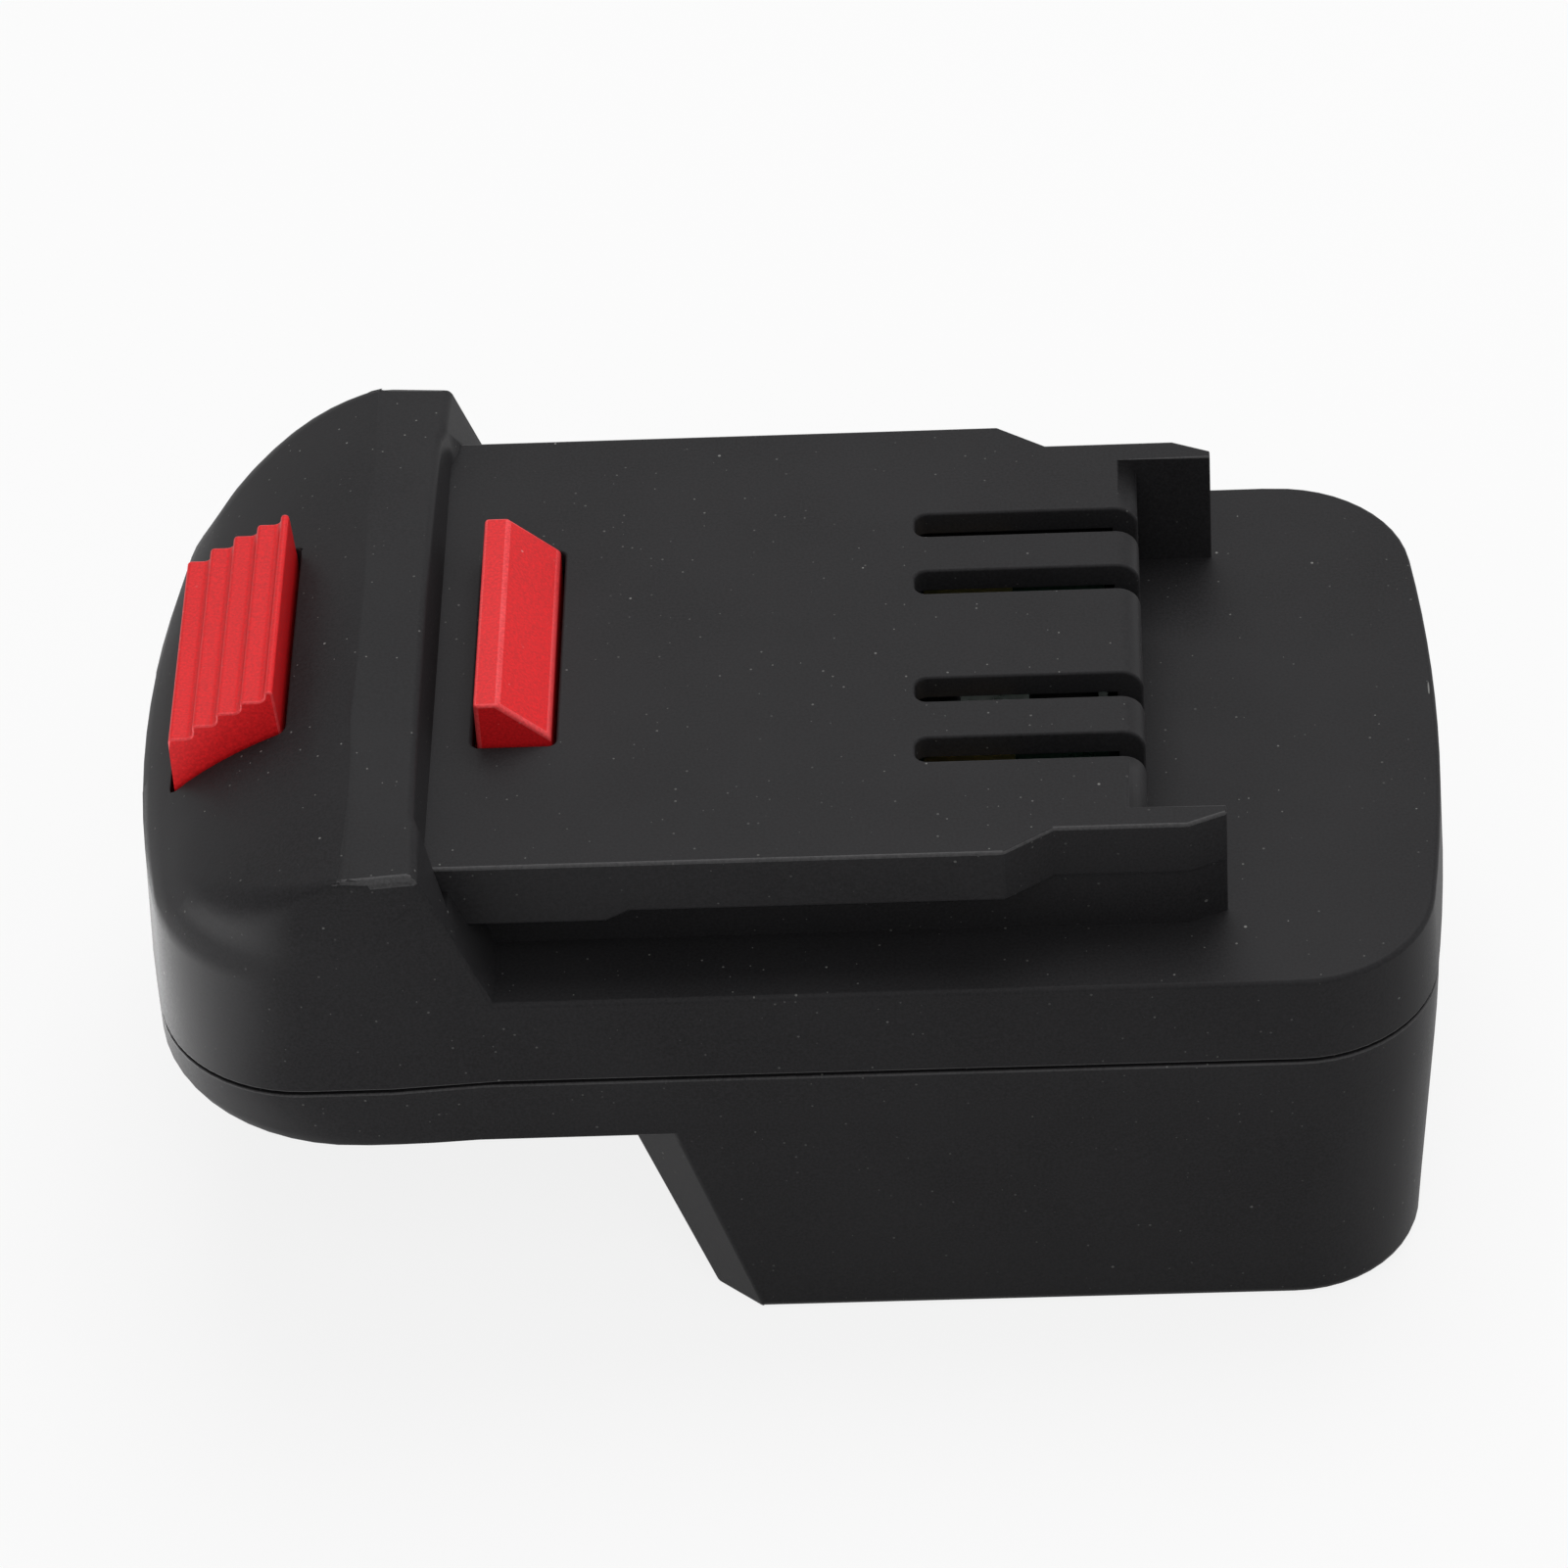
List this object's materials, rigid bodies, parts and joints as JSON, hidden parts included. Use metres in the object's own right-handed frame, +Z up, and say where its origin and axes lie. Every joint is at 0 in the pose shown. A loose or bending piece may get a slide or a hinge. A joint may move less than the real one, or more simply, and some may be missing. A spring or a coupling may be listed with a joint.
{
  "type": "tool battery adapter",
  "caption": "Slide-on battery adapter: a flanged rail with terminal slots on top, a receiver for a slide pack below, and a sprung red button that draws its latch in.",
  "frame": {"origin": "middle of the bounding box at the underside of the receiver block", "axes": "+X from the button end to the terminal end, +Y to the left of that, +Z up through the deck"},
  "size_m": [0.128, 0.0764, 0.0625],
  "materials": {
    "case": "fine spark-eroded texture",
    "release": "satin",
    "spring": "drawn wire",
    "board": "dark solder mask",
    "contact": "stamped",
    "carrier": "moulded",
    "screw": "zinc plated",
    "wire_red": "extruded",
    "wire_white": "extruded",
    "wire_black": "extruded"
  },
  "bodies": {
    "housing": {"upper_shell": "case", "lower_shell": "case", "latch_spring_left": "spring", "latch_spring_right": "spring", "contact_board": "board", "board_screws": "screw", "tool_contact_positive": "contact", "tool_contact_sense": "contact", "tool_contact_negative": "contact", "terminal_block": "carrier", "terminal_block_screws": "screw", "blade_positive": "contact", "blade_sense": "contact", "blade_negative": "contact", "wire_positive": "wire_red", "wire_sense": "wire_white", "wire_negative": "wire_black", "case_screws_front": "screw", "case_screws_rear": "screw"},
    "release": {"release_latch": "release"}
  },
  "joints": [
    {"name": "release_press", "type": "slide", "parent": "housing", "child": "release", "axis": [0, 0, -1], "range_m": [0, 0.005], "stiffness_N_per_m": 900, "springref_m": -0.004, "deforming": ["latch_spring_left", "latch_spring_right"]}
  ]
}
